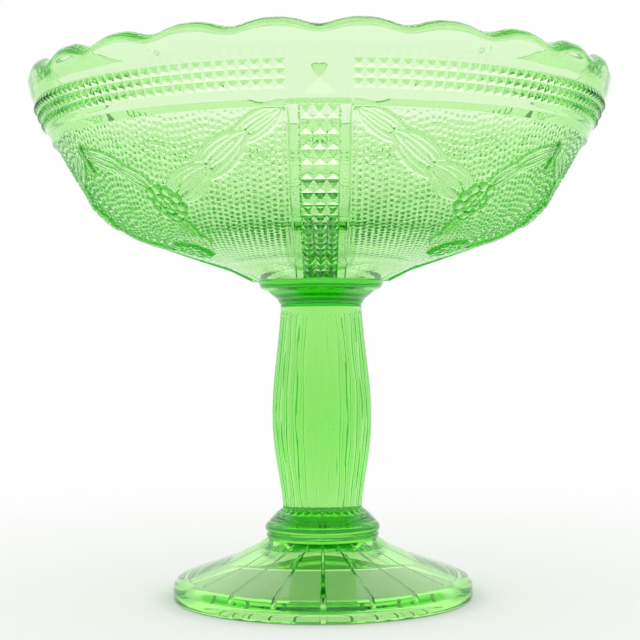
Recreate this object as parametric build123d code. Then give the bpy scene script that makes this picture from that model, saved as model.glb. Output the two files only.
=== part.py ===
from build123d import *
from math import atan2, cos, degrees, radians, sin, tan
import os

# Pedestal dish of pressed glass, in millimetres. The origin is the centre of the ring that it
# stands on, +Z is up, and the first of its three ribs faces -Y.

# Heights of the joins between the fused pieces, from the table up
foot_top_z = 19.3
knop_top_z = 28.9
stem_top_z = 95.3
wafer_top_z = 104.0
rim_z = 171.0

# Bowl: a neck on the wafer, a shallow cone, a steep wall and a flared lip
wall_thickness = 5.6
neck_start_r = 21.0
bend_r = 31.0
bend_z = 108.7
bend_radius = 12.0
cone_slope = 17.2
wall_slope = 58.5
wall_end_r = 86.3
wall_end_z = 148.1
knuckle_radius = 39.7
floor_r = 13.0
floor_corner = 8.0
moulding_proud = 0.9
moulding_height = 2.0
band_bottom_r = 88.4
band_bottom_z = 150.7
lip_bottom_r = 93.6
lip_bottom_z = 162.1
lip_outer_r = 95.6
lip_inner_r = 90.2
lip_outer_corner = 3.0
lip_inner_corner = 1.9

# Scalloped rim
lobe_count = 24
lobe_drop = 1.8

# Relief on the bowl
rib_count = 3
rib_width = 16.4
rib_proud = 1.3
rib_root = 1.5
block_width = 10.2
block_height = 9.4
block_proud = 1.8
block_taper = 60
block_z = 156.6
band_slope = 64.0
daisy_r = 6.7
daisy_proud = 0.9
button_r = 1.9
button_proud = 1.3
side_daisy_azimuth = 39.5
side_daisy_tilt = 43.3
low_daisy_r = 46.6

# Stem: height and radius of each section, from the knop up to the wafer
stem_sections = [
    (knop_top_z, 13.1),
    (46.0, 15.4),
    (58.5, 16.45),
    (72.5, 15.7),
    (88.5, 13.95),
    (stem_top_z, 13.4),
]
reed_count = 30
reed_depth = 0.03

# Foot
foot_r = 49.3
foot_edge_z = 6.2
foot_edge_corner = 4.0
foot_heel_corner = 1.7
foot_waist_r = 31.0
foot_waist_z = 12.4
foot_shoulder_r = 21.8
foot_shoulder_z = 16.9
foot_neck_r = 18.2
ring_inner_r = 45.0
hollow_edge_r = 43.5
hollow_edge_z = 2.5
hollow_top_r = 13.0
hollow_top_z = 15.6
ray_count = 18
ray_width = 1.6
ray_depth = 0.7

front = -90.0
rib_turn = 360 / rib_count
neck_slope = degrees(atan2(bend_z - wafer_top_z, bend_r - neck_start_r))
half_turn = (wall_slope - cone_slope) / 2
mean_slope = (wall_slope + cone_slope) / 2


def outside(corner_r, corner_z, slope_before, slope_after, proud):
    """Where this corner of the bowl's outline moves to, this far outside the bowl."""
    mean = radians((slope_before + slope_after) / 2)
    half = radians((slope_after - slope_before) / 2)
    shift = proud / cos(half)
    return corner_r + shift * sin(mean), corner_z - shift * cos(mean)


def bend(proud):
    """Corner of the neck and the cone, for a surface this far outside the bowl's own."""
    return outside(bend_r, bend_z, neck_slope, cone_slope, proud)


def knuckle(proud):
    """Corner of the cone and the wall, for a surface this far outside the bowl's own."""
    cone_rise = tan(radians(cone_slope))
    wall_rise = tan(radians(wall_slope))
    gap = wall_end_z - bend_z - wall_rise * wall_end_r + cone_rise * bend_r
    corner_r = gap / (cone_rise - wall_rise)
    corner_z = bend_z + cone_rise * (corner_r - bend_r)
    return outside(corner_r, corner_z, cone_slope, wall_slope, proud)


def neck_z(r, proud):
    corner_r, corner_z = bend(proud)
    return corner_z - (corner_r - r) * tan(radians(neck_slope))


def cone_z(r, proud):
    corner_r, corner_z = knuckle(proud)
    return corner_z - (corner_r - r) * tan(radians(cone_slope))


def wall_r(z, proud):
    corner_r, corner_z = knuckle(proud)
    return corner_r + (z - corner_z) / tan(radians(wall_slope))


def turned(outline):
    """Solid of revolution from a closed outline of (radius, height, corner radius)."""
    points = [(r, 0, z) for r, z, corner in outline]
    corners = [corner for r, z, corner in outline]
    return revolve(make_face(FilletPolyline(*points, radius=corners, close=True)), Axis.Z)


def on_bowl(azimuth, r, z, tilt):
    """Plane on the outside of the bowl, facing out and down, tilted this far up from straight down."""
    out = Vector(cos(radians(azimuth)), sin(radians(azimuth)), 0)
    along = Vector(-out.Y, out.X, 0)
    normal = out * sin(radians(tilt)) - Vector(0, 0, cos(radians(tilt)))
    return Plane(origin=out * r + Vector(0, 0, z), x_dir=along, z_dir=normal)


def bowl_shell():
    inner = -wall_thickness
    moulding_top_r = band_bottom_r + moulding_proud / 2
    floor_z = neck_z(floor_r, inner)
    inner_bend_r, inner_bend_z = bend(inner)
    inner_knuckle_r, inner_knuckle_z = knuckle(inner)
    outer_knuckle_r, outer_knuckle_z = knuckle(0)
    return turned([
        (0, wafer_top_z, 0),
        (neck_start_r, wafer_top_z, 0),
        (bend_r, bend_z, bend_radius),
        (outer_knuckle_r, outer_knuckle_z, knuckle_radius),
        (wall_end_r, wall_end_z, 0),
        (wall_end_r + moulding_proud, wall_end_z, 0.4),
        (moulding_top_r, wall_end_z + moulding_height, 0.4),
        (band_bottom_r, band_bottom_z, 0),
        (lip_bottom_r, lip_bottom_z, 0),
        (lip_outer_r, rim_z, lip_outer_corner),
        (lip_inner_r, rim_z, lip_inner_corner),
        (wall_r(wall_end_z, inner), wall_end_z, 20),
        (inner_knuckle_r, inner_knuckle_z, knuckle_radius - wall_thickness),
        (inner_bend_r, inner_bend_z, bend_radius),
        (floor_r, floor_z, floor_corner),
        (0, floor_z, 0),
    ])


def lobe_cutter():
    """What is cut from above one lobe of the rim, in the lobe's own wedge."""
    half_width = lip_outer_r * tan(radians(180 / lobe_count))
    lobe_radius = (half_width**2 + lobe_drop**2) / (2 * lobe_drop)
    reach = 2 * wall_thickness
    blank = Rectangle(2 * half_width + 1, lobe_radius)
    waste = Pos(0, lobe_radius / 2 - 2 * lobe_drop) * blank - Pos(0, -lobe_radius) * Circle(lobe_radius)
    side = Plane(origin=(lip_outer_r - reach, 0, rim_z), x_dir=(0, 1, 0), z_dir=(1, 0, 0))
    bar = extrude(side * waste, amount=2 * reach)
    tip = 2 * lip_outer_r
    spread = tip * tan(radians(180 / lobe_count))
    wedge_face = make_face(Polyline((0, 0), (tip, -spread), (tip, spread), close=True))
    wedge = Pos(0, 0, rim_z - reach) * extrude(wedge_face, amount=2 * reach)
    return bar & wedge


def ribs():
    """Three raised strips down the bowl from the lip to the wafer."""
    top_z = lip_bottom_z - 0.3
    corner_r, corner_z = knuckle(rib_proud)
    root_r, root_z = knuckle(-rib_root)
    outer_bend_r, outer_bend_z = bend(rib_proud)
    inner_bend_r, inner_bend_z = bend(-rib_root)
    start_r = neck_start_r - 0.1
    ring = turned([
        (start_r, neck_z(start_r, rib_proud), 0),
        (outer_bend_r, outer_bend_z, bend_radius),
        (corner_r, corner_z, knuckle_radius + rib_proud),
        (wall_r(wall_end_z, rib_proud), wall_end_z, 0),
        (lip_bottom_r + rib_proud / 2, top_z, 0),
        (lip_bottom_r - rib_root, top_z, 0),
        (wall_r(wall_end_z, -rib_root), wall_end_z, 0),
        (root_r, root_z, knuckle_radius - rib_root),
        (inner_bend_r, inner_bend_z, bend_radius),
        (start_r, neck_z(start_r, -rib_root), 0),
    ])
    strip = Pos(lip_outer_r / 2, 0, (wafer_top_z + rim_z) / 2) * Box(lip_outer_r, rib_width, rim_z)
    above_wafer = Pos(0, 0, wafer_top_z + rim_z / 2) * Cylinder(2 * lip_outer_r, rim_z)
    rib = ring & strip & above_wafer
    return [Rot(0, 0, front + i * rib_turn) * rib for i in range(rib_count)]


def crossing_block(azimuth):
    """Large bevelled block where a rib crosses the beaded band."""
    block_r = band_bottom_r + (block_z - band_bottom_z) / tan(radians(band_slope))
    wall = on_bowl(azimuth, block_r, block_z, band_slope)
    base = extrude(wall * Rectangle(block_width, block_height), amount=rib_proud)
    bevelled = extrude(wall.offset(rib_proud) * Rectangle(block_width, block_height),
                       amount=block_proud, taper=block_taper)
    return base + bevelled


def daisy(azimuth, r, z, tilt):
    seat = on_bowl(azimuth, r, z, tilt)
    head = extrude(seat * Circle(daisy_r), amount=daisy_proud, both=True)
    button = extrude(seat * Circle(button_r), amount=button_proud)
    return head + button


def garland(rib_azimuth):
    """Three daisies in the panel after one rib: two on the knuckle and one lower down."""
    corner_r, corner_z = knuckle(0)
    to_centre = knuckle_radius / cos(radians(half_turn))
    centre_r = corner_r - to_centre * sin(radians(mean_slope))
    centre_z = corner_z + to_centre * cos(radians(mean_slope))
    side_r = centre_r + knuckle_radius * sin(radians(side_daisy_tilt))
    side_z = centre_z - knuckle_radius * cos(radians(side_daisy_tilt))
    side_azimuths = [side_daisy_azimuth, rib_turn - side_daisy_azimuth]
    daisies = [daisy(rib_azimuth + a, side_r, side_z, side_daisy_tilt) for a in side_azimuths]
    low_z = cone_z(low_daisy_r, 0)
    daisies.append(daisy(rib_azimuth + rib_turn / 2, low_daisy_r, low_z, cone_slope))
    return daisies


def bowl():
    body = bowl_shell()
    notch_turn = 360 / lobe_count
    cutters = [Rot(0, 0, front + (i + 0.5) * notch_turn) * lobe_cutter() for i in range(lobe_count)]
    body -= cutters
    body += ribs()
    for i in range(rib_count):
        body += crossing_block(front + i * rib_turn)
        body += garland(front + i * rib_turn)
    return body


def wafer():
    """Disc of glass that joins the bowl to the stem, with a cove under it."""
    return turned([
        (0, stem_top_z, 0),
        (13.4, stem_top_z, 0),
        (14.0, 97.4, 5),
        (17.7, 100.6, 1.2),
        (19.9, 101.5, 0.9),
        (20.9, wafer_top_z, 0),
        (0, wafer_top_z, 0),
    ])


def reeded_section(z, r):
    """Closed wire of shallow round arcs that meet in sharp valleys."""
    step = 360 / reed_count
    valley_r = r * (1 - reed_depth)
    arcs = []
    for i in range(reed_count):
        start, middle, end = [front + (i + part) * step for part in (-0.5, 0, 0.5)]
        arcs.append(ThreePointArc(
            (valley_r * cos(radians(start)), valley_r * sin(radians(start)), z),
            (r * cos(radians(middle)), r * sin(radians(middle)), z),
            (valley_r * cos(radians(end)), valley_r * sin(radians(end)), z),
        ))
    return make_face(Wire(arcs))


def stem():
    return loft([reeded_section(z, r) for z, r in stem_sections])


def knop():
    """Round-shouldered collar between the stem and the foot, with a narrow bead under it."""
    return turned([
        (0, foot_top_z, 0),
        (foot_neck_r, foot_top_z, 0),
        (18.7, 20.3, 0.3),
        (18.3, 21.3, 0.3),
        (19.5, 22.9, 1.7),
        (15.2, 27.5, 3),
        (13.1, knop_top_z, 0),
        (0, knop_top_z, 0),
    ])


def ray_cutter():
    """Radial groove of V section under the foot."""
    length = hollow_edge_r - hollow_top_r
    fall = hollow_top_z - hollow_edge_z
    path = Vector(length, 0, -fall)
    start = Plane(origin=(hollow_top_r, 0, hollow_top_z), x_dir=(0, 1, 0), z_dir=path.normalized())
    half = ray_width / 2
    # The plane's own y axis points into the glass
    groove = make_face(Polyline((-half, -0.2), (half, -0.2), (0, ray_depth), close=True))
    return extrude(start * groove, amount=path.length)


def foot():
    body = turned([
        (0, hollow_top_z + 0.8, 0),
        (hollow_top_r, hollow_top_z, 8),
        (hollow_edge_r, hollow_edge_z, 2),
        (ring_inner_r, 0, 0.6),
        (foot_r, 0, foot_heel_corner),
        (foot_r, foot_edge_z, foot_edge_corner),
        (foot_waist_r, foot_waist_z, 25),
        (foot_shoulder_r, foot_shoulder_z, 8),
        (foot_neck_r, foot_top_z, 0),
        (0, foot_top_z, 0),
    ])
    return body - [Rot(0, 0, front + i * 360 / ray_count) * ray_cutter() for i in range(ray_count)]


os.makedirs("parts", exist_ok=True)
pieces = {"bowl": bowl(), "wafer": wafer(), "stem": stem(), "knop": knop(), "foot": foot()}
for name, piece in pieces.items():
    export_step(piece, f"parts/{name}.step")
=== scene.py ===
import bpy
import numpy as np
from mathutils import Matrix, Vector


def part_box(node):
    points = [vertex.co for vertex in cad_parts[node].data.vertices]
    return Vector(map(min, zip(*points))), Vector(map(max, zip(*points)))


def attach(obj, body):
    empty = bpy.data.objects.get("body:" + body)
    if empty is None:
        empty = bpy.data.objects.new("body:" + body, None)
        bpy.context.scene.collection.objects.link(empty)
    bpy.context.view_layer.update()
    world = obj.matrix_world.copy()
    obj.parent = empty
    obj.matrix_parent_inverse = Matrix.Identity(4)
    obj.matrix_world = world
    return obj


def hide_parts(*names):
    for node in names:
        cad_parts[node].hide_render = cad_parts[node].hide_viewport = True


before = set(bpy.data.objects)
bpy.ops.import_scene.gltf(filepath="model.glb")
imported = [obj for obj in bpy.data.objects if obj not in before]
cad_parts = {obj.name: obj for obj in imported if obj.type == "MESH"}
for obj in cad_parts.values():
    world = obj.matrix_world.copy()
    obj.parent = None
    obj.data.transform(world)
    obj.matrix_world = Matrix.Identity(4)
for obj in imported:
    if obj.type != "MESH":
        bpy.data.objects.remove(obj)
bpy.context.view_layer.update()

# Pedestal dish of clear green pressed glass. Shapes are worked out in millimetres in the frame's
# axes, and written to Blender in metres. Azimuths are in degrees from the front rib, which
# faces -Y, and turn towards +X.

MM = 0.001

# Levels and radii that come from the frame
bowl_low, bowl_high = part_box("bowl")
wafer_low, wafer_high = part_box("wafer")
knop_low, knop_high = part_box("knop")
foot_low, foot_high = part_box("foot")
RIM_Z = bowl_high.z / MM
WAFER_TOP_Z = wafer_high.z / MM
WAFER_R = wafer_high.x / MM
STEM_TOP_Z = wafer_low.z / MM
KNOP_TOP_Z = knop_high.z / MM
FOOT_TOP_Z = foot_high.z / MM
FOOT_R = foot_high.x / MM

# Bowl outline
WALL_THICKNESS = 5.6
BEND_R = 31.0
BEND_Z = 108.7
NECK_SLOPE = np.arctan2(BEND_Z - WAFER_TOP_Z, BEND_R - WAFER_R)
CONE_SLOPE = np.radians(17.2)
WALL_SLOPE = np.radians(58.5)
WALL_END_R = 86.3
WALL_END_Z = 148.1
BAND_R = 88.4
BAND_Z = 150.7
LIP_R = 93.6
LIP_Z = 162.1
LIP_OUTER_R = 95.6
LIP_INNER_R = 90.2
BEND_RADIUS = 12.0
KNUCKLE_RADIUS = 39.7
FLOOR_R = 13.0
PANEL_DEGREES = 120

# Rim
LOBES = 24
LOBE_DROP = 1.85
LOBE_DRAW_IN = 0.5
LOBE_DEPTH = 9.0
LOBE_BLUNTNESS = 1.35

# Ribs and bands of pyramids
RIBS = 3
RIB_HALF = 8.1
RIB_WIDENING = 0.10
RIB_PROUD = 1.1
RIB_FLOOR = 0.35
RIB_CELL_X = 3.4
RIB_CELLS_ACROSS = 3
RIB_CELL_S = 4.567
RIB_FIRST_S = 1.1
RIB_CELL_ROWS = 18
RIB_RINGS = 12
RIB_PEAK = 1.6
BAND_CELLS = 52
BAND_ROWS = 3
BAND_LOW_Z = 152.3
BAND_HIGH_Z = 160.0
BAND_PEAK = 0.95
BAND_GROOVE = 0.1
BLOCK_HALF_X = 5.5
BLOCK_LOW_Z = 150.9
BLOCK_HIGH_Z = 159.6
BLOCK_PEAK = 1.3
BLOCK_SQUARENESS = 5
MOULDING_LOW_Z = 148.1
MOULDING_HIGH_Z = 150.1
MOULDING_PROUD = 0.95

# Stippled ground
DOT_PITCH_X = 1.9
DOT_PITCH_S = 2.05
DOT_R = 0.62
DOT_PROUD = 0.62
DOT_SIZES = ((10.0, 0.04), (24.0, 0.2), (42.0, 0.85), (68.0, 1.0), (78.0, 0.4))
DOT_PHASES = 97
DOT_KINDS = 1009

# Garland, with places as (azimuth, arc length up the bowl) and the width of each tier of leaves
DAISY_R = 6.8
SIDE_DAISY = (39.5, 54.4)
LOW_DAISY = (60.0, 27.2)
LONG_SPRAY = ((34.1, 57.7), (24.5, 64.9), (14.9, 74.5), (7.2, 81.7))
LONG_SPRAY_WIDTHS = (11.3, 11.2, 8.4)
MIDDLE_SPRAY = ((41.8, 60.8), (48.4, 68.1), (59.4, 74.9))
MIDDLE_SPRAY_WIDTHS = (6.2, 7.0)
LOW_SPRAY = ((40.2, 47.1), (41.2, 37.4), (46.0, 29.4))
LOW_SPRAY_WIDTHS = (6.7, 6.2)
TIE_BASE = (60.0, 69.0)
TIE_TIP = (60.0, 76.4)
TIE_WIDTH = 2.2
TIE_PROUD = 1.1
LEAF_EDGE = 0.3
LEAF_PROUD = 0.8
VEIN_DEPTH = 0.3
VEIN_WIDTH = 0.36

# Stem and foot
REEDS = 30
REED_DEPTH = 0.03
REED_SWAY = 0.5
STEM_SECTIONS = (
    (KNOP_TOP_Z, 13.1),
    (46.0, 15.4),
    (58.5, 16.45),
    (72.5, 15.7),
    (88.5, 13.95),
    (STEM_TOP_Z, 13.4),
)
RAYS = 18
RAY_DEPTH = 0.55
RAY_SHARE = 0.10
SEAM_PROUD = 0.14

JOIN_GAP = 0.01
RANDOM_SEED = 7

# Glass: it absorbs (1 - colour) * ABSORPTION * depth in each metre. The depths differ by piece to
# match how deep each looks, although the real dish is one glass.
GLASS_COLOUR = (0.42, 0.907, 0.12, 1)
ABSORPTION = 70
GLASS_DEPTHS = {"bowl_glass": 1.15, "stem_glass": 1.1, "wafer_glass": 3.5, "foot_glass": 1.8}
GLASS_IOR = 1.5
FUSED_IOR = 1.0001

# Studio: sky brightness by the upward part of the direction, floor and camera (metres)
SKY = ((0.0, 1.0), (0.25, 1.0), (0.42, 1.35), (0.62, 1.35), (0.85, 0.75), (1.0, 0.7))
FLOOR_GREY = 0.97
FLOOR_SIZE = 3.0
FLOOR_Z = -0.0002
CAMERA_PLACE = (0, -0.470, 0.0854)
CAMERA_ROLL = np.radians(0.42)
CAMERA_LENS = 79.75
CAMERA_SHIFT = (-0.0020, 0.0266)
LIGHT_BOUNCES = 24
GLOSSY_BOUNCES = 12


# ---------------------------------------------------------------- curves

def rounded(outline, step=0.1):
    """Dense (n, 2) points along a polyline of (radius, height, corner radius)."""
    points = [np.array(p[:2], float) for p in outline]
    path = [points[0]]
    for before, corner, after, radius in zip(points, points[1:], points[2:],
                                             [p[2] for p in outline[1:-1]]):
        back = (before - corner) / np.linalg.norm(before - corner)
        ahead = (after - corner) / np.linalg.norm(after - corner)
        half = np.arccos(np.clip(back @ ahead, -1, 1)) / 2
        if radius <= 0:
            path.append(corner)
            continue
        reach = radius / np.tan(half)
        middle = (back + ahead) / np.linalg.norm(back + ahead)
        centre = corner + middle * radius / np.sin(half)
        start = corner + back * reach - centre
        end = corner + ahead * reach - centre
        sweep = np.pi - 2 * half
        turns = max(int(np.ceil(radius * sweep / step)), 2)
        side = np.sign(start[0] * end[1] - start[1] * end[0])
        for t in np.linspace(0, side * sweep, turns + 1):
            c, s = np.cos(t), np.sin(t)
            path.append(centre + np.array([c * start[0] - s * start[1], s * start[0] + c * start[1]]))
    path.append(points[-1])
    path = np.array(path)
    keep = np.r_[True, np.linalg.norm(np.diff(path, axis=0), axis=1) > 1e-9]
    path = path[keep]
    dense = [path[:1]]
    for a, b in zip(path, path[1:]):
        n = max(int(np.ceil(np.linalg.norm(b - a) / step)), 1)
        dense.append(a + (b - a) * np.linspace(0, 1, n + 1)[1:, None])
    return np.concatenate(dense)


class Curve:
    """Outline read by its arc length."""

    def __init__(self, outline):
        self.points = rounded(outline)
        steps = np.linalg.norm(np.diff(self.points, axis=0), axis=1)
        self.s = np.r_[0, np.cumsum(steps)]
        self.length = self.s[-1]

    def at(self, s):
        return (np.interp(s, self.s, self.points[:, 0]), np.interp(s, self.s, self.points[:, 1]))

    def normal(self, s, reach=0.25):
        r0, z0 = self.at(np.maximum(s - reach, 0))
        r1, z1 = self.at(np.minimum(s + reach, self.length))
        size = np.hypot(r1 - r0, z1 - z0)
        return (z1 - z0) / size, -(r1 - r0) / size

    def s_at_z(self, z):
        """Arc length where a rising outline first passes this height."""
        rising = int(np.argmax(self.points[:, 1] >= z))
        return self.s[rising]


def smooth(t):
    t = np.clip(t, 0, 1)
    return t * t * (3 - 2 * t)


# ---------------------------------------------------------------- meshes

def make_object(name, vertices, faces, fused, sharp_angle):
    """Mesh object from millimetre vertices and lists of equal-sized faces. Faces named in
    fused are those that melt into a neighbouring piece."""
    mesh = bpy.data.meshes.new(name)
    loops = np.concatenate([f.ravel() for f in faces]).astype(np.int32)
    totals = np.concatenate([np.full(len(f), f.shape[1]) for f in faces])
    starts = np.r_[0, np.cumsum(totals)[:-1]].astype(np.int32)
    mesh.vertices.add(len(vertices))
    mesh.vertices.foreach_set("co", (vertices * MM).astype(np.float32).ravel())
    mesh.loops.add(len(loops))
    mesh.loops.foreach_set("vertex_index", loops)
    mesh.polygons.add(len(totals))
    mesh.polygons.foreach_set("loop_start", starts)
    mesh.update(calc_edges=True)
    mesh.polygons.foreach_set("use_smooth", np.ones(len(totals), bool))
    mesh.set_sharp_from_angle(angle=np.radians(sharp_angle))
    flag = np.zeros(len(totals), np.float32)
    first = 0
    for i, block in enumerate(faces):
        if i in fused:
            flag[first:first + len(block)] = 1
        first += len(block)
    attribute = mesh.attributes.new("fused", "FLOAT", "FACE")
    attribute.data.foreach_set("value", flag)
    mesh.validate()
    piece = bpy.data.objects.new(name, mesh)
    bpy.context.scene.collection.objects.link(piece)
    return piece


def ring_quads(lower, upper):
    """Quads between two rings of vertex numbers, for an outline that runs upwards outside."""
    return np.stack([lower, np.roll(lower, -1), np.roll(upper, -1), upper], axis=1)


def grid_triangles(rings, height):
    """Two triangles for each cell of a closed grid of rings. Each cell is cut along its higher
    diagonal, which keeps the ridges of the relief sharp."""
    a = rings[:-1]
    b = np.roll(rings, -1, axis=1)[:-1]
    c = np.roll(rings, -1, axis=1)[1:]
    d = rings[1:]
    ha, hc = height[:-1], np.roll(height, -1, axis=1)[1:]
    hb, hd = np.roll(height, -1, axis=1)[:-1], height[1:]
    across = ha + hc >= hb + hd
    first = np.where(across[..., None], np.stack([a, b, c], -1), np.stack([a, b, d], -1))
    second = np.where(across[..., None], np.stack([a, c, d], -1), np.stack([b, c, d], -1))
    return np.concatenate([first.reshape(-1, 3), second.reshape(-1, 3)])


def fan(ring, hub, outward_up):
    """Triangles from a ring to one hub vertex."""
    ahead = np.roll(ring, -1)
    hubs = np.full(len(ring), hub)
    if outward_up:
        return np.stack([ring, ahead, hubs], axis=1)
    return np.stack([ahead, ring, hubs], axis=1)


def step_down(fine, coarse):
    """Polygons between a ring and the next one with fewer vertices, a whole number of fine
    edges to each coarse one."""
    share = len(fine) // len(coarse)
    polygons = []
    for i, start in enumerate(coarse):
        run = [fine[(i * share + k) % len(fine)] for k in range(share + 1)]
        polygons.append(run + [coarse[(i + 1) % len(coarse)], start])
    return np.array(polygons)


def polar(radius, height, azimuth):
    """Points from radii and heights (mm) and azimuths (radians from the front, towards +X)."""
    radius, height, azimuth = np.broadcast_arrays(radius, height, azimuth)
    return np.stack([radius * np.sin(azimuth), -radius * np.cos(azimuth), height], axis=-1)


# ---------------------------------------------------------------- bowl relief

def outside(corner_r, corner_z, slope_before, slope_after, proud):
    """Where this corner of the bowl's outline moves to, this far outside the bowl."""
    mean, half = (slope_before + slope_after) / 2, (slope_after - slope_before) / 2
    shift = proud / np.cos(half)
    return corner_r + shift * np.sin(mean), corner_z - shift * np.cos(mean)


def bend(proud):
    """Corner of the neck and the cone, for a surface this far outside the bowl's own."""
    return outside(BEND_R, BEND_Z, NECK_SLOPE, CONE_SLOPE, proud)


def knuckle(proud):
    """Corner of the cone and the wall, for a surface this far outside the bowl's own."""
    cone, wall = np.tan(CONE_SLOPE), np.tan(WALL_SLOPE)
    gap = WALL_END_Z - BEND_Z - wall * WALL_END_R + cone * BEND_R
    corner_r = gap / (cone - wall)
    corner_z = BEND_Z + cone * (corner_r - BEND_R)
    return outside(corner_r, corner_z, CONE_SLOPE, WALL_SLOPE, proud)


def outer_curve():
    corner_r, corner_z = knuckle(0)
    return Curve([
        (WAFER_R, WAFER_TOP_Z, 0),
        (BEND_R, BEND_Z, BEND_RADIUS),
        (corner_r, corner_z, KNUCKLE_RADIUS),
        (WALL_END_R, WALL_END_Z, 0),
        (BAND_R, BAND_Z, 6),
        (LIP_R, LIP_Z, 0),
        (LIP_OUTER_R, RIM_Z, 3.0),
        (LIP_INNER_R + 2.2, RIM_Z, 0),
    ])


def inner_curve():
    corner_r, corner_z = knuckle(-WALL_THICKNESS)
    wall_r = corner_r + (WALL_END_Z - corner_z) / np.tan(WALL_SLOPE)
    bend_r, bend_z = bend(-WALL_THICKNESS)
    floor_z = bend_z - (bend_r - FLOOR_R) * np.tan(NECK_SLOPE)
    return Curve([
        (LIP_INNER_R + 2.2, RIM_Z, 0),
        (LIP_INNER_R, RIM_Z, 1.9),
        (wall_r, WALL_END_Z, 20),
        (corner_r, corner_z, KNUCKLE_RADIUS - WALL_THICKNESS),
        (bend_r, bend_z, BEND_RADIUS),
        (FLOOR_R, floor_z, 8),
        (2.0, floor_z, 0),
    ])


def dome(distance):
    """Round hump: 1 in the middle, 0 from distance 1 outwards, with a steep edge."""
    return np.sqrt(np.clip(1 - distance**2, 0, 1))


def daisy(place, centre):
    """Height and cover of a daisy: a button, six inner cells and ten petals."""
    azimuth, s, r = place
    dx = np.radians(azimuth - centre[0]) * r
    ds = s - centre[1]
    reach = np.hypot(dx, ds)
    turn = np.arctan2(ds, dx)
    height = 1.25 * dome(reach / 1.3)
    for cells, low, high, peak, shift in ((6, 1.45, 3.75, 1.2, 0.2), (10, 3.9, DAISY_R, 1.25, 0.0)):
        middle, half = (low + high) / 2, (high - low) / 2
        part = np.mod(turn / (2 * np.pi) * cells + shift, 1) - 0.5
        width = np.pi * middle / cells * 0.93
        across = part * 2 * np.pi * reach / cells / width
        along = (reach - middle) / half
        height = np.maximum(height, peak * np.sqrt(np.clip(1 - along**4 - across**4, 0, 1)))
    return height, smooth((DAISY_R + 0.5 - reach) / 0.4)


def in_mm(place, origin):
    """Millimetres across and along the bowl from an (azimuth, s) point, for places near it."""
    azimuth, s, r = place
    radius = np.interp(origin[1], *RADIUS_BY_S)
    return np.radians(azimuth - origin[0]) * (radius + r) / 2, s - origin[1]


def leaf(place, origin, bend, widths):
    """Height and cover of a leaf along a bent line of three points (mm from the origin). Its
    widths are given at its base and at its widest, and it ends in a point."""
    dx, ds = in_mm(place, origin)
    base, middle, tip = (np.array(p, float) for p in bend)
    near = np.full(dx.shape, 1e9)
    share = np.zeros(dx.shape)
    across = np.zeros(dx.shape)
    for t in np.linspace(0, 1, 33):
        point = (1 - t)**2 * base + 2 * t * (1 - t) * middle + t**2 * tip
        ahead = (1 - t) * (middle - base) + t * (tip - middle)
        ahead = ahead / np.linalg.norm(ahead)
        ex, es = dx - point[0], ds - point[1]
        reach = ex**2 + es**2
        closer = reach < near
        near = np.where(closer, reach, near)
        share = np.where(closer, t + (ex * ahead[0] + es * ahead[1]) / 12, share)
        across = np.where(closer, es * ahead[0] - ex * ahead[1], across)
    t = np.clip(share, 0, 1)
    narrow, wide = widths
    half = (narrow + (wide - narrow) * np.sin(np.pi * np.clip(t / 0.9, 0, 0.5))) / 2
    half = half * np.sqrt(np.clip(1 - np.clip((t - 0.4) / 0.6, 0, 1)**2.2, 0, 1))
    inside = half - np.sqrt(near)
    side = np.clip(np.abs(across) / np.maximum(half, 0.05), 0, 1)
    height = LEAF_EDGE + (LEAF_PROUD - LEAF_EDGE) * (1 - side**2.4)
    vein = np.exp(-(across / VEIN_WIDTH) ** 2) * smooth((t - 0.05) / 0.1) * smooth((0.85 - t) / 0.15)
    return height - VEIN_DEPTH * vein, smooth(inside / 0.5 + 0.5)


def tier(start, end, width):
    """Three leaves side by side from one node of a spray to the next, the middle one on top.
    The outer two bow outwards and close in again at the next node."""
    radius = (np.interp(start[1], *RADIUS_BY_S) + np.interp(end[1], *RADIUS_BY_S)) / 2
    reach = np.array([np.radians(end[0] - start[0]) * radius, end[1] - start[1]])
    side = np.array([-reach[1], reach[0]]) / np.hypot(*reach) * width
    leaves = []
    for sign in (-1, 1):
        bend = (reach * -0.06 + side * sign * 0.22, reach * 0.45 + side * sign * 0.44,
                reach * 1.10 + side * sign * 0.05)
        leaves.append((start, bend, (width * 0.26, width * 0.36)))
    leaves.append((start, (reach * 0.02, reach * 0.5, reach * 1.04), (width * 0.08, width * 0.30)))
    return leaves


def spray(nodes, widths):
    """Tiers along a path of (azimuth, s) nodes, lowest first: each tier's tips lie over the next
    tier's feet, so the tiers are laid down from the far end of the spray."""
    leaves = []
    for start, end, width in list(zip(nodes, nodes[1:], widths))[::-1]:
        leaves += tier(start, end, width)
    return leaves


def bar(place, base, tip, width, proud):
    """Height of a short round bar."""
    azimuth, s, r = place
    dx = np.radians(azimuth - base[0]) * r
    ds = s - base[1]
    span = np.array([np.radians(tip[0] - base[0]) * np.interp(base[1], *RADIUS_BY_S), tip[1] - base[1]])
    t = np.clip((dx * span[0] + ds * span[1]) / (span @ span), 0, 1)
    reach = np.hypot(dx - t * span[0], ds - t * span[1])
    return proud * dome(reach / (width / 2)), smooth((width / 2 + 0.5 - reach) / 0.4)


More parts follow.
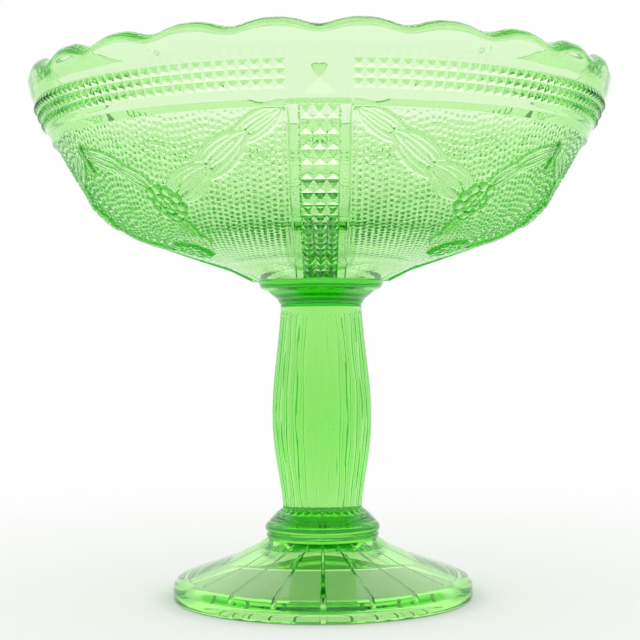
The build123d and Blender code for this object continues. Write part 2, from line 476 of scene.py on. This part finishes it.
def garland(place):
    """Height of the daisies and leaf sprays, and how far they cover the stipple."""
    leaves = spray(LONG_SPRAY, LONG_SPRAY_WIDTHS)
    leaves += spray(MIDDLE_SPRAY, MIDDLE_SPRAY_WIDTHS)
    leaves += spray(LOW_SPRAY, LOW_SPRAY_WIDTHS)
    height = np.zeros_like(place[0])
    cover = np.zeros_like(place[0])
    for origin, bend, widths in leaves:
        leaf_height, leaf_cover = leaf(place, origin, bend, widths)
        height = height * (1 - leaf_cover) + leaf_height * leaf_cover
        cover = np.maximum(cover, leaf_cover)
    for piece_height, piece_cover in (
        bar(place, TIE_BASE, TIE_TIP, TIE_WIDTH, TIE_PROUD),
        daisy(place, SIDE_DAISY),
        daisy(place, LOW_DAISY),
    ):
        height = np.where(piece_cover > 0, piece_height, height)
        cover = np.maximum(cover, piece_cover)
    return height, cover


def stipple(x, s, jitter):
    """Staggered rows of small round dots, in columns that run beside the ribs."""
    column = np.round((x - RIB_HALF) / DOT_PITCH_X).astype(int)
    phase = jitter["phase"][column % DOT_PHASES]
    row = np.round(s / DOT_PITCH_S - phase).astype(int)
    key = (column * 131 + row * 17) % DOT_KINDS
    dx = x - RIB_HALF - column * DOT_PITCH_X - jitter["x"][key]
    ds = s - (row + phase) * DOT_PITCH_S - jitter["s"][key]
    reach = np.hypot(dx, ds) / DOT_R
    proud = DOT_PROUD * np.interp(s, *zip(*DOT_SIZES))
    return proud * np.clip(1 - reach**2, 0, 1) ** 0.8 * jitter["size"][key]


def pyramids(across, along, groove):
    """Four-sided points over unit cells: 1 in the middle, and 0 on the cell edges and over a
    flat groove beside them."""
    a = np.abs(np.mod(across, 1) - 0.5) * 2
    b = np.abs(np.mod(along, 1) - 0.5) * 2
    return np.clip(1 - np.maximum(a, b) / (1 - groove), 0, 1)


def rib_widening(s, s_top):
    """How much wider the rib is here than at the foot of the bowl."""
    return 1 + RIB_WIDENING * np.clip(s / s_top, 0, 1)


def bowl_relief(azimuth, s, r, z, curve):
    """Height of the pressed pattern over the bowl's plain outside, in mm. Azimuth runs from a
    rib at 0 to the middle of the panel at 60."""
    rng = np.random.default_rng(RANDOM_SEED)
    jitter = {
        "phase": np.cumsum(rng.uniform(-0.45, 0.45, DOT_PHASES)),
        "x": rng.normal(0, 0.07, DOT_KINDS),
        "s": rng.normal(0, 0.07, DOT_KINDS),
        "size": rng.uniform(0.85, 1.1, DOT_KINDS),
    }
    x = np.radians(azimuth) * r
    s_moulding = curve.s_at_z(MOULDING_LOW_Z)
    s_moulding_end = curve.s_at_z(MOULDING_HIGH_Z)
    s_band, s_band_end = curve.s_at_z(BAND_LOW_Z), curve.s_at_z(BAND_HIGH_Z)
    s_block, s_block_end = curve.s_at_z(BLOCK_LOW_Z), curve.s_at_z(BLOCK_HIGH_Z)

    # Ground and garland between the ribs
    place = (azimuth, s, r)
    height, cover = garland(place)
    widening = rib_widening(s, s_moulding)
    from_rib = x - RIB_HALF * widening
    ground = (s > 2) & (s < s_moulding - 0.5) & (from_rib > 0.6)
    dots = stipple(from_rib, s, jitter)
    height = np.where(ground, height * cover + dots * (1 - cover), height * cover)
    height = np.where((s < s_moulding - 0.1) & (from_rib > 0), height, 0)

    # Moulding with an upright face, and the band of points
    fall = np.clip((s_moulding_end - s) / (s_moulding_end - s_moulding), 0, 1)
    rise = smooth((s - s_moulding) / 0.3) * fall
    height = np.where(s >= s_moulding - 0.1, MOULDING_PROUD * rise, height)
    edge = np.degrees(RIB_HALF * widening / r)
    cells = (azimuth - edge) / (PANEL_DEGREES - 2 * edge) * BAND_CELLS
    rows = (s - s_band) / (s_band_end - s_band) * BAND_ROWS
    in_band = (rows > 0) & (rows < BAND_ROWS) & (cells > 0)
    height = np.where(in_band, BAND_PEAK * pyramids(cells, rows, BAND_GROOVE), height)

    # Rib: plate with a sunk strip of points, and a large point where it crosses the band
    x = x / widening
    plate = RIB_PROUD * smooth((RIB_HALF - x) / 0.6) * smooth((s_moulding_end - s) / 1.5)
    points_half = RIB_CELL_X * RIB_CELLS_ACROSS / 2
    last = RIB_FIRST_S + RIB_CELL_S * RIB_CELL_ROWS
    sunk = (x < points_half) & (s > 0.2) & (s < last)
    points = pyramids(x / RIB_CELL_X + 0.5, (s - RIB_FIRST_S) / RIB_CELL_S, 0)
    plate = np.where(sunk, RIB_FLOOR + (RIB_PEAK - RIB_FLOOR) * points, plate)
    block_s = np.abs(s - (s_block + s_block_end) / 2) / ((s_block_end - s_block) / 2)
    square = np.abs(x / BLOCK_HALF_X)**BLOCK_SQUARENESS + block_s**BLOCK_SQUARENESS
    block = np.clip(1 - square ** (1 / BLOCK_SQUARENESS), 0, 1)
    plate = np.where(s > s_block, BLOCK_PEAK * block, plate)
    return np.where(x <= RIB_HALF, plate, height)


# ---------------------------------------------------------------- bowl

def bowl_columns():
    """Column plan of one third of the bowl: distances from the rib's middle line (mm) over
    half a rib, then shares of the panel from this rib's edge to the next one's."""
    border = np.linspace(RIB_CELL_X * RIB_CELLS_ACROSS / 2, RIB_HALF, 9)
    points = np.arange(0, RIB_CELLS_ACROSS * 6) * RIB_CELL_X / 12
    half_rib = np.r_[points, border]
    panel = np.linspace(0, 1, BAND_CELLS * 8 + 1)[1:-1]
    return half_rib, panel


def bowl_azimuths(s, r, s_top):
    """Azimuths of every column, in degrees, for rings of these radii."""
    half_rib, panel = bowl_columns()
    near = np.degrees(half_rib[None, :] * rib_widening(s, s_top)[:, None] / r[:, None])
    edge = near[:, -1:]
    across = edge + panel[None, :] * (PANEL_DEGREES - 2 * edge)
    far = PANEL_DEGREES - near[:, :0:-1]
    third = np.concatenate([near, across, far], axis=1)
    return np.concatenate([third + PANEL_DEGREES * k for k in range(RIBS)], axis=1)


def scallop(azimuth):
    """0 on the crown of a rim lobe and 1 in the notch between two lobes."""
    part = np.mod(azimuth / 360 * LOBES, 1)
    from_crown = np.abs(part - 0.5) * 2
    return np.sin(np.pi / 2 * from_crown**LOBE_BLUNTNESS) ** 2


def at_rim(r, z, azimuth):
    """Lowers and draws in the lip between the lobes."""
    weight = smooth((z - (RIM_Z - LOBE_DEPTH)) / LOBE_DEPTH)
    notch = scallop(azimuth)
    return r - LOBE_DRAW_IN * notch * weight, z - LOBE_DROP * notch * weight


def bowl_rows(curve):
    """Arc lengths of the rings outside, with a ring on each edge of the relief."""
    s_moulding = curve.s_at_z(MOULDING_LOW_Z)
    marks = [curve.s_at_z(z) for z in (MOULDING_HIGH_Z, BAND_LOW_Z, BAND_HIGH_Z, LIP_Z)]
    step = RIB_CELL_S / RIB_RINGS
    cells = RIB_FIRST_S + step * np.arange(-2, 400)
    rows = [[0], cells[cells < s_moulding - step / 3], [s_moulding]]
    start = s_moulding
    for end, count in zip(marks + [curve.length], (9, 7, BAND_ROWS * 10, 7, 30)):
        rows.append(np.linspace(start, end, count + 1)[1:])
        start = end
    return np.concatenate(rows)


def build_bowl():
    curve = outer_curve()
    s = bowl_rows(curve)
    r, z = curve.at(s)
    azimuth = bowl_azimuths(s, r, curve.s_at_z(MOULDING_LOW_Z))
    from_rib = np.mod(azimuth, PANEL_DEGREES)
    folded = np.minimum(from_rib, PANEL_DEGREES - from_rib)
    grid_s = np.broadcast_to(s[:, None], azimuth.shape)
    grid_r = np.broadcast_to(r[:, None], azimuth.shape)
    grid_z = np.broadcast_to(z[:, None], azimuth.shape)
    relief = bowl_relief(folded, grid_s, grid_r, grid_z, curve)
    relief[0] = 0
    out_r, out_z = curve.normal(s)
    ring_r = grid_r + relief * out_r[:, None]
    ring_z = grid_z + relief * out_z[:, None]
    ring_r, ring_z = at_rim(ring_r, ring_z, azimuth)
    vertices = [polar(ring_r, ring_z, np.radians(azimuth)).reshape(-1, 3)]
    rings = np.arange(azimuth.size).reshape(azimuth.shape)
    faces = [grid_triangles(rings, relief)]

    # Inside, with fewer columns
    inner = inner_curve()
    share = 6
    inner_s = np.r_[0, np.linspace(0.6, 9, 12), np.linspace(10, inner.length, 90)]
    inner_r, inner_z = inner.at(inner_s)
    inner_azimuth = azimuth[-1][::share][None, :] + np.zeros((len(inner_s) - 1, 1))
    inner_ring_r, inner_ring_z = at_rim(inner_r[1:, None], inner_z[1:, None], inner_azimuth)
    first = len(vertices[0])
    vertices.append(polar(inner_ring_r, inner_ring_z, np.radians(inner_azimuth)).reshape(-1, 3))
    inner_rings = first + np.arange(inner_azimuth.size).reshape(inner_azimuth.shape)
    faces.append(step_down(rings[-1], inner_rings[0]))
    faces.append(np.concatenate([ring_quads(a, b) for a, b in zip(inner_rings, inner_rings[1:])]))
    hub = first + inner_azimuth.size
    vertices.append(np.array([[0, 0, inner_z[-1]]]))
    faces.append(fan(inner_rings[-1], hub, True))

    # Underside, fused to the wafer
    under = azimuth[0][::share]
    vertices.append(polar(WAFER_R * 0.9, WAFER_TOP_Z, np.radians(under)))
    under_ring = hub + 1 + np.arange(len(under))
    vertices.append(np.array([[0, 0, WAFER_TOP_Z]]))
    faces.append(step_down(rings[0], under_ring)[:, ::-1])
    faces.append(fan(under_ring, under_ring[-1] + 1, False))
    points = np.concatenate(vertices)
    low = points[:, 2] < WAFER_TOP_Z + JOIN_GAP
    points[low, 2] = WAFER_TOP_Z + JOIN_GAP
    return make_object("bowl_pressed", points, faces, fused=(4, 5), sharp_angle=24)


# ---------------------------------------------------------------- turned pieces

def seam(azimuth, width_degrees):
    """Height of the thin raised lines that the mould's three parts leave."""
    half = PANEL_DEGREES / 2
    off = (np.mod(np.degrees(azimuth) + half, PANEL_DEGREES) - half) / width_degrees
    return SEAM_PROUD * np.exp(-off**2)


def turned_piece(name, outline, spacing, columns, relief=None, fused_ends=(True, True),
                 sharp_angle=40):
    """Solid of revolution from its lowest outside point to its highest, closed by flat ends."""
    curve = Curve(outline)
    s = np.linspace(0, curve.length, max(int(curve.length / spacing), 4))
    corners = [curve.s[np.argmin(np.hypot(*(curve.points - p[:2]).T))] for p in outline[1:-1] if p[2] == 0]
    s = np.unique(np.round(np.r_[s, corners], 4))
    r, z = curve.at(s)
    ring_r = np.repeat(r[:, None], len(columns), axis=1)
    ring_z = np.repeat(z[:, None], len(columns), axis=1)
    if relief is not None:
        out_r, out_z = curve.normal(s)
        out_r[[0, -1]], out_z[[0, -1]] = 1, 0
        height = relief(columns[None, :], s[:, None], r[:, None], z[:, None])
        ring_r = ring_r + height * out_r[:, None]
        ring_z = ring_z + height * out_z[:, None]
        ring_z[0], ring_z[-1] = z[0], z[-1]
    points = polar(ring_r, ring_z, columns[None, :]).reshape(-1, 3)
    rings = np.arange(ring_r.size).reshape(ring_r.shape)
    bottom, top = len(points), len(points) + 1
    points = np.concatenate([points, [[0, 0, z[0]], [0, 0, z[-1]]]])
    faces = [
        np.concatenate([ring_quads(a, b) for a, b in zip(rings, rings[1:])]),
        fan(rings[0], bottom, False),
        fan(rings[-1], top, True),
    ]
    fused = [i + 1 for i, joined in enumerate(fused_ends) if joined]
    if fused_ends[0]:
        points[points[:, 2] < z[0] + JOIN_GAP, 2] = z[0] + JOIN_GAP
    if fused_ends[1]:
        points[points[:, 2] > z[-1] - JOIN_GAP, 2] = z[-1] - JOIN_GAP
    return make_object(name, points, faces, fused=fused, sharp_angle=sharp_angle)


def build_wafer():
    outline = [
        (13.4, STEM_TOP_Z, 0),
        (13.45, 96.4, 0.2),
        (13.75, 96.6, 0.2),
        (14.1, 97.6, 4),
        (17.7, 100.6, 1.2),
        (19.9, 101.5, 0.9),
        (WAFER_R, WAFER_TOP_Z, 0),
    ]
    columns = np.radians(np.arange(REEDS * 24) * 360 / (REEDS * 24))
    return turned_piece("wafer_disc", outline, 0.2, columns)


def build_knop():
    outline = [
        (18.2, FOOT_TOP_Z, 0),
        (18.7, 20.3, 0.3),
        (18.3, 21.3, 0.3),
        (19.5, 22.9, 1.7),
        (15.2, 27.5, 3),
        (13.1, KNOP_TOP_Z, 0),
    ]
    columns = np.radians(np.arange(REEDS * 24) * 360 / (REEDS * 24))

    def relief(a, s, r, z):
        reeds = REED_DEPTH * STEM_SECTIONS[0][1] * reed_valley(a)
        return seam(a, 0.9) * smooth((z - FOOT_TOP_Z) / 0.5) * smooth((KNOP_TOP_Z - z) / 0.5) \
            - reeds * smooth((z - KNOP_TOP_Z + 1.4) / 1.4)

    return turned_piece("knop_collar", outline, 0.15, columns, relief)


def reed_valley(azimuth):
    """0 on the crown of a reed and 1 in the sharp valley between two reeds."""
    part = np.mod(azimuth / (2 * np.pi) * REEDS + 0.5, 1) - 0.5
    return (2 * part) ** 2


def build_stem():
    heights = np.linspace(KNOP_TOP_Z, STEM_TOP_Z, 120)
    known_z = np.array([z for z, r in STEM_SECTIONS])
    known_r = np.array([r for z, r in STEM_SECTIONS])
    # Smooth curve through the sections
    middle = (known_z[0] + known_z[-1]) / 2
    fit = np.polyfit((known_z - middle) / 33, known_r, len(known_z) - 1)
    radii = np.polyval(fit, (heights - middle) / 33)
    azimuth = np.radians(np.arange(REEDS * 12) * 360 / (REEDS * 12))
    a, z = azimuth[None, :], heights[:, None]
    fade = smooth((STEM_TOP_Z - 0.5 - z) / 3)
    ring = 1 - REED_DEPTH * fade * reed_valley(a)
    waves = np.sin(z / 6.1 + 5 * a) + np.sin(z / 3.7 + 11 * a)
    sway = np.radians(REED_SWAY) * waves * smooth((z - KNOP_TOP_Z) / 6)
    points = polar(radii[:, None] * ring, z, a + sway).reshape(-1, 3)
    rings = np.arange(len(heights) * len(azimuth)).reshape(len(heights), len(azimuth))
    bottom = len(points)
    points = np.concatenate([points, [[0, 0, heights[0]], [0, 0, heights[-1]]]])
    points[points[:, 2] < KNOP_TOP_Z + JOIN_GAP, 2] = KNOP_TOP_Z + JOIN_GAP
    points[points[:, 2] > STEM_TOP_Z - JOIN_GAP, 2] = STEM_TOP_Z - JOIN_GAP
    faces = [
        np.concatenate([ring_quads(a, b) for a, b in zip(rings, rings[1:])]),
        fan(rings[0], bottom, False),
        fan(rings[-1], bottom + 1, True),
    ]
    return make_object("stem_reeded", points, faces, fused=(1, 2), sharp_angle=12)


def ray_relief(azimuth, s, r, z):
    """Radial grooves under the foot, which narrow towards the middle."""
    part = np.abs(np.mod(azimuth / (2 * np.pi) * RAYS + 0.5, 1) - 0.5)
    groove = np.clip(1 - part / (RAY_SHARE / 2), 0, 1)
    reach = smooth((42.6 - r) / 1.5) * smooth((r - 11) / 6)
    return -RAY_DEPTH * groove * reach


def build_foot():
    outline = [
        (2.0, 16.4, 0),
        (13.0, 15.6, 8),
        (43.5, 2.5, 2),
        (45.0, 0, 0.6),
        (FOOT_R, 0, 0.6),
        (FOOT_R, 6.2, 4.0),
        (31.0, 12.4, 25),
        (21.8, 16.9, 8),
        (18.2, FOOT_TOP_Z, 0),
    ]
    columns = np.radians(np.arange(RAYS * 60) * 360 / (RAYS * 60))
    curve = Curve(outline)
    heel = curve.s[np.argmax(curve.points[:, 0] > 46)]

    def relief(a, s, r, z):
        above = smooth((z - 0.6) / 0.6) * smooth((FOOT_TOP_Z - z) / 0.5)
        return np.where(s < heel, ray_relief(a, s, r, z), seam(a, 0.6) * above)

    return turned_piece("foot_base", outline, 0.4, columns, relief,
                        fused_ends=(False, True), sharp_angle=15)


# ---------------------------------------------------------------- material

def uranium_glass(name, depth):
    """Clear yellow-green glass whose colour deepens with thickness. Depth is its share of the
    usual absorption. Faces that melt into a neighbour hardly refract."""
    material = bpy.data.materials.new(name)
    material.use_nodes = True
    nodes, links = material.node_tree.nodes, material.node_tree.links
    shader = nodes["Principled BSDF"]
    shader.inputs["Base Color"].default_value = (1, 1, 1, 1)
    shader.inputs["Transmission Weight"].default_value = 1
    shader.inputs["Roughness"].default_value = 0.0
    fused = nodes.new("ShaderNodeAttribute")
    fused.attribute_name = "fused"
    index = nodes.new("ShaderNodeMapRange")
    index.inputs["To Min"].default_value = GLASS_IOR
    index.inputs["To Max"].default_value = FUSED_IOR
    links.new(fused.outputs["Fac"], index.inputs["Value"])
    links.new(index.outputs["Result"], shader.inputs["IOR"])
    absorb = nodes.new("ShaderNodeVolumeAbsorption")
    absorb.inputs["Color"].default_value = GLASS_COLOUR
    absorb.inputs["Density"].default_value = ABSORPTION * depth
    links.new(absorb.outputs["Volume"], nodes["Material Output"].inputs["Volume"])
    return material


# ---------------------------------------------------------------- stage

def pale_floor():
    bpy.ops.mesh.primitive_circle_add(vertices=96, radius=FLOOR_SIZE, fill_type="NGON",
                                      location=(0, 0, FLOOR_Z))
    floor = bpy.context.object
    floor.name = "floor"
    material = bpy.data.materials.new("floor_paper")
    material.use_nodes = True
    shader = material.node_tree.nodes["Principled BSDF"]
    shader.inputs["Base Color"].default_value = (FLOOR_GREY, FLOOR_GREY, FLOOR_GREY, 1)
    shader.inputs["Roughness"].default_value = 1.0
    shader.inputs["Specular IOR Level"].default_value = 0.0
    floor.data.materials.append(material)


def studio_world():
    world = bpy.data.worlds.new("studio")
    bpy.context.scene.world = world
    world.use_nodes = True
    nodes, links = world.node_tree.nodes, world.node_tree.links
    coordinates = nodes.new("ShaderNodeTexCoord")
    split = nodes.new("ShaderNodeSeparateXYZ")
    links.new(coordinates.outputs["Generated"], split.inputs["Vector"])
    sky = nodes.new("ShaderNodeValToRGB")
    sky.color_ramp.interpolation = "EASE"
    elements = sky.color_ramp.elements
    while len(elements) < len(SKY):
        elements.new(0.5)
    for element, (position, grey) in zip(elements, SKY):
        element.position = position
        element.color = (grey, grey, grey, 1)
    links.new(split.outputs["Z"], sky.inputs["Fac"])
    links.new(sky.outputs["Color"], nodes["Background"].inputs["Color"])


def studio_camera():
    data = bpy.data.cameras.new("camera")
    camera = bpy.data.objects.new("camera", data)
    bpy.context.scene.collection.objects.link(camera)
    camera.location = CAMERA_PLACE
    camera.rotation_euler = (np.pi / 2, CAMERA_ROLL, 0)
    data.sensor_width = 36
    data.lens = CAMERA_LENS
    data.shift_x, data.shift_y = CAMERA_SHIFT
    data.clip_start = 0.01
    bpy.context.scene.camera = camera


studio_camera()
studio_world()
pale_floor()

glasses = {name: uranium_glass(name, depth) for name, depth in GLASS_DEPTHS.items()}
# Each node's builder, its slot in the record and its glass
builders = {
    "bowl": (build_bowl, "bowl_glass", "bowl_glass"),
    "wafer": (build_wafer, "stem_glass", "wafer_glass"),
    "stem": (build_stem, "stem_glass", "stem_glass"),
    "knop": (build_knop, "stem_glass", "stem_glass"),
    "foot": (build_foot, "foot_glass", "foot_glass"),
}
outer = outer_curve()
RADIUS_BY_S = (outer.s, outer.points[:, 0])
for node, (build, slot, glass) in builders.items():
    piece = build()
    piece.data.materials.append(glasses[glass])
    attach(piece, "root")
    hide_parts(node)

scene = bpy.context.scene
scene.view_settings.view_transform = "Standard"
scene.cycles.max_bounces = LIGHT_BOUNCES
scene.cycles.transmission_bounces = LIGHT_BOUNCES
scene.cycles.glossy_bounces = GLOSSY_BOUNCES
